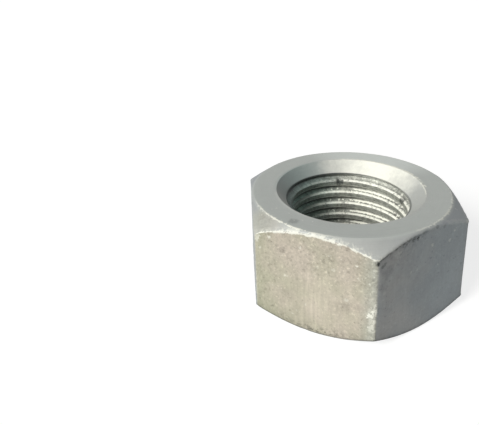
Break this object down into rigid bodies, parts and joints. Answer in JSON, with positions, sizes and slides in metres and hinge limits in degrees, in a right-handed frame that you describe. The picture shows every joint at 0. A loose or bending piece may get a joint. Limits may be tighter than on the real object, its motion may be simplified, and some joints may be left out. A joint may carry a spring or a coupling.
{
  "type": "hex nut",
  "caption": "Large hexagon nut with a coarse right-hand thread, bevelled corners on both faces and a countersunk mouth at each end.",
  "frame": {"origin": "centre of the lower bearing face, on the thread's axis", "axes": "+Z along the thread's axis, towards the upper bearing face; two corners point along +Y and -Y, and two flats face +X and -X"},
  "size_m": [0.065, 0.0746, 0.034],
  "materials": {
    "zinc_coated_steel": "forged steel with a dull zinc coating, smoother on the turned faces and in the thread"
  },
  "bodies": {
    "root": {"nut": "zinc_coated_steel"}
  },
  "joints": []
}
